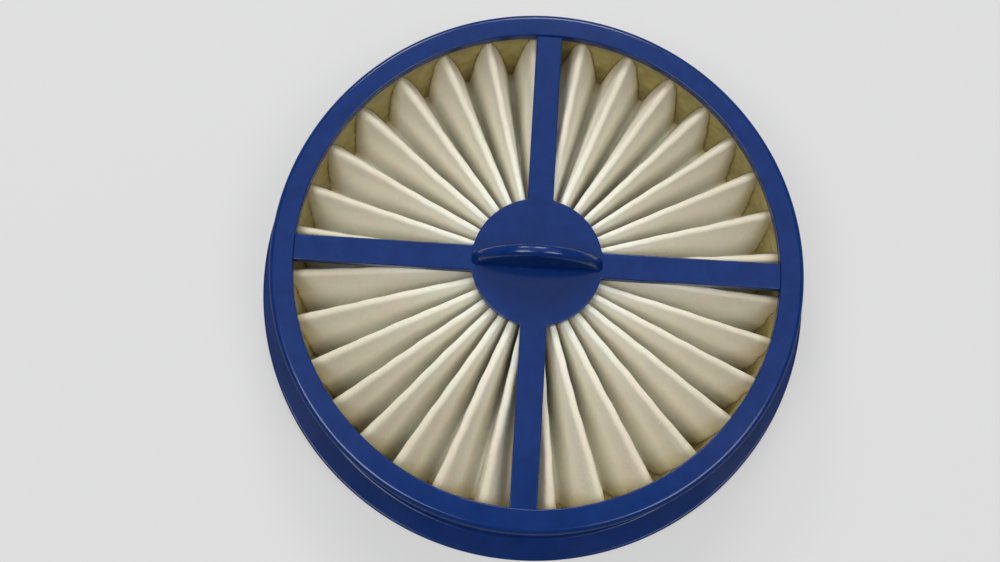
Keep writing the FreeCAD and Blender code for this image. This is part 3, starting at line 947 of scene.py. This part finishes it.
felt = make_piece(
    "folded_felt", felt_skin, FILTER_FELT, "pleated_media", ring=True, facet_free=True)
store(felt, GAP_ATTRIBUTE, gap_of_felt)

# %% [markdown]
# ## Adhesive as a finish, and the bead itself
#
# Cured polyurethane is amber, slightly see-through and satin. Within about half a millimetre of the
# felt it is coloured a darker brown. It could be made of glass-like transmission, which is slow to
# render and noisy in a narrow gap; a little scattering below the surface looks the same at this size.
# The bead is a ring whose inner face follows the formula above.

# %% Make the adhesive finish
AMBER = (0.50, 0.43, 0.17, 1)
AMBER_DARK = (0.36, 0.295, 0.11, 1)
EDGE_BROWN = (0.25, 0.19, 0.08, 1)
EDGE_ATTRIBUTE = "felt_distance"
EDGE_BOUNDS = (0.1, 0.45)
FAR_FROM_FELT = 9.0


def adhesive():
    finish = Finish("adhesive", Roughness=0.38, IOR=1.5, Subsurface_Weight=0.2,
                    Subsurface_Scale=0.001, Subsurface_Radius=(1.0, 0.7, 0.25))
    body = finish.effect(CLOUDS, Scale=320.0, Light=AMBER, Dark=AMBER_DARK)
    gap = finish.node("Attribute", {}, "Fac", attribute_name=EDGE_ATTRIBUTE)
    edged = finish.mixed(EDGE_BROWN, body, finish.ramp(gap, EDGE_BOUNDS))
    finish.feed("Base Color", edged)
    finish.feed("Normal", finish.effect(GRAIN, Scale=500.0, Height=0.0001))
    return finish.material


ADHESIVE = adhesive()
print("made", ADHESIVE.name)


# %% Make the bead at the rim
def bead_skin(steps=24, face_rows=26):
    """The bead as a ring of points, and the distance of each from the nearest flank.

    Columns run from ridge to ridge: offset = share * half pitch, with share from -1 to 1, measured
    from the valley between them, where the half pitch is the way to the ridge on that side. Rows
    climb the inner face and come back down the wall.
    """
    share = np.linspace(-1, 1, steps, endpoint=False)[None, :]
    half_gap = np.where(
        share < 0, (valleys_after - ridges)[:, None], (next_ridges - valleys_after)[:, None])
    half_pitch = half_gap * MOUTH_RADIUS
    valley = np.arange(PLEATS)[:, None]
    angle = (valleys_after[:, None] + share * half_gap).ravel()
    heights = np.linspace(GRILLE_TOP, SPOKE_FOOT, face_rows)[:, None, None]
    offset = (share * half_pitch)[None]
    face = pour_radius(valley[None], offset, half_pitch[None], heights).reshape(face_rows, -1)
    distance = distance_to_flank(offset, half_pitch[None], heights).reshape(face_rows, -1)
    wall = np.full((2, face.shape[1]), WALL_INSIDE - 0.01)
    radius = np.concatenate((face, wall))
    height = np.concatenate((heights[:, 0, 0], [SPOKE_FOOT, GRILLE_TOP]))[:, None] + 0 * radius
    points = np.stack((radius * np.cos(angle), radius * np.sin(angle), height), axis=-1)
    return points, np.concatenate((distance, np.full_like(wall, FAR_FROM_FELT)))


bead_points, bead_distance = bead_skin()
bead = make_piece(
    "rim_adhesive", bead_points, ADHESIVE, "rim_potting", ring=True, facet_free=True)
store(bead, EDGE_ATTRIBUTE, bead_distance)

# %% Give the adhesive core its finish
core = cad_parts["hub_potting"]
core.data.materials.clear()
core.data.materials.append(ADHESIVE)
print("finish of the core:", core.data.materials[0].name)

# %% [markdown]
# ## Stray fibres
#
# A used filter sheds. Two loose fibres lie on the folds at the front right, thin enough to be seen
# only as pale hairs. A hair system would scatter hundreds; two thin tubes are all that is there.

# %% Make the stray fibres
FIBRE_THICKNESS = 0.07


def tube(path, radius, sides=6):
    """A thin tube along a path: at each point a circle square to the path's direction."""
    ahead = np.gradient(path, axis=0)
    ahead = ahead / np.linalg.norm(ahead, axis=1, keepdims=True)
    side = np.cross(ahead, [0, 0, 1.0])
    side = side / np.linalg.norm(side, axis=1, keepdims=True)
    up = np.cross(side, ahead)
    angle = np.linspace(0, FULL_TURN, sides, endpoint=False)[None, :, None]
    return path[:, None] + radius * (np.cos(angle) * side[:, None] + np.sin(angle) * up[:, None])


def fibre_path(radius, angle, height, length, bearing, curl):
    """A hair that leaves its foot along a bearing and bends sideways with the square of the distance."""
    run = np.linspace(0, 1, 9)
    foot = np.array([radius * math.cos(angle), radius * math.sin(angle), height])
    ahead = np.array([math.cos(bearing), math.sin(bearing), 0.25])
    aside = np.array([-math.sin(bearing), math.cos(bearing), 0.1])
    return foot + length * (run[:, None] * ahead + curl * run[:, None] ** 2 * aside)


def fibre_finish():
    finish = Finish("pale_fibre", Roughness=0.6)
    pale = finish.effect(CLOUDS, Scale=900.0, Light=(0.9, 0.88, 0.8, 1), Dark=(0.8, 0.77, 0.68, 1))
    finish.feed("Base Color", pale)
    return finish.material


PALE_FIBRE = fibre_finish()
# Each fibre: radius, angle and height of its foot, then its length, bearing and curl.
FIBRES = ((52.0, 312.0, 25.6, 1.8, 200, 0.5), (41.0, 299.6, 25.9, 1.4, 30, -0.4))
for number, (radius, degrees, height, length, bearing, curl) in enumerate(FIBRES, 1):
    path = fibre_path(radius, math.radians(degrees), height, length, math.radians(bearing), curl)
    make_piece(f"stray_fibre_{number}", tube(path, FIBRE_THICKNESS), PALE_FIBRE, None,
               facet_free=True)

# %% [markdown]
# ## Floor
#
# The filter lies on a plain pale floor. White paint on it would be simpler, but much light would
# bounce from it onto the upright walls. So the floor's own colour is a middle grey, and only what
# the camera sees of it is lifted. The shadow of the filter stays, because the lift is even.

# %% Make the floor
FLOOR_LIFT = 0.42


def floor_finish():
    finish = Finish("pale_floor", Roughness=0.9)
    pale = finish.effect(CLOUDS, Scale=2.0, Light=grey(0.31), Dark=grey(0.30))
    finish.feed("Base Color", pale)
    seen = finish.node("LightPath", {}, "Is Camera Ray")
    lift = finish.node("Math", {0: seen, 1: FLOOR_LIFT}, "Value", operation="MULTIPLY")
    finish.feed("Emission Strength", lift)
    finish.feed("Emission Color", grey(1.0))
    return finish.material


FLOOR_HALF_SIDE = 3.0
SQUARE = ((-1, -1), (1, -1), (1, 1), (-1, 1))
corners = [(x * FLOOR_HALF_SIDE, y * FLOOR_HALF_SIDE, 0.0) for x, y in SQUARE]
floor_mesh = bpy.data.meshes.new("floor")
floor_mesh.from_pydata(corners, [], [(0, 1, 2, 3)])
floor_mesh.materials.append(floor_finish())
floor = put_in_scene("floor", floor_mesh)
print("floor", 2 * FLOOR_HALF_SIDE, "m square")

# %% [markdown]
# ## Light
#
# Two large lamps hang high on the left and right, a little in front, and a third hangs behind. The
# light falls into the folds from both sides and from the back, and the lip throws hardly any shadow.
# The top faces mirror a grey ceiling, which ends above the front of the rim. A small window at the
# back left puts the glints on the edges, and the world fills the shadows with a faint cool grey.
#
# A single lamp overhead would be simpler, but the top faces would mirror it, and the narrow folds
# would stay dark.


# %% Light the scene
def area_lamp(name, place, aim, side, power):
    lamp = bpy.data.lights.new(name, "AREA")
    lamp.size = side
    lamp.energy = power
    stand = put_in_scene(name, lamp)
    stand.location = place
    stand.rotation_mode = "QUATERNION"
    stand.rotation_quaternion = (Vector(aim) - Vector(place)).to_track_quat("-Z", "Y")


MIDDLE = (0, 0, 0.02)
# Each lamp: its name, place, aim, side in metres and power in watts.
LAMPS = (
    ("ceiling", (0.0, 1.05, 1.4), (0, 1.05, 0), 2.0, 4.6),
    ("left lamp", (-0.6, -0.35, 1.4), MIDDLE, 0.65, 8.6),
    ("right lamp", (0.65, -0.35, 1.4), MIDDLE, 0.65, 6.8),
    ("back lamp", (0.1, 1.25, 1.25), MIDDLE, 0.5, 7.8),
    ("window", (-0.43, 0.95, 0.85), MIDDLE, 0.3, 3.0),
)
for name, place, aim, side, power in LAMPS:
    area_lamp(name, place, aim, side, power)

world = bpy.data.worlds.new("studio")
world.use_nodes = True
bpy.context.scene.world = world
background = world.node_tree.nodes["Background"]
background.inputs["Color"].default_value = (0.92, 0.95, 1.0, 1)
background.inputs["Strength"].default_value = 0.1
bpy.context.scene.view_settings.view_transform = "Standard"
print(len(LAMPS), "lamps and a grey world")

# %% [markdown]
# ## Camera
#
# The camera looks down on the filter from the front, slightly turned. Its place and lens could be
# set by eye, but they were worked out from how the round mouth, the hub and the spokes appear, so
# edges at every height fall where they should.

# %% Set the camera
CAMERA_PLACE = Vector((-0.00848, -0.07636, 0.32626))
CAMERA_AHEAD = Vector((-0.002787, 0.230870, -0.972981))
CAMERA_ROLL = 2.905
CAMERA_LENS = 42.354

camera_data = bpy.data.cameras.new("camera")
camera_data.lens = CAMERA_LENS
camera_data.sensor_width = 36.0
camera_data.clip_start = 0.01
camera = put_in_scene("camera", camera_data)
camera.location = CAMERA_PLACE
camera.rotation_mode = "QUATERNION"
level = CAMERA_AHEAD.to_track_quat("-Z", "Y")
camera.rotation_quaternion = level @ Quaternion((0, 0, 1), math.radians(CAMERA_ROLL))
bpy.context.scene.camera = camera
print("up axis of the camera:", (camera.rotation_quaternion @ Vector((0, 1, 0)))[:])

# %% [markdown] ## Finish
# The dressed filter has to keep to the box of the imported model.
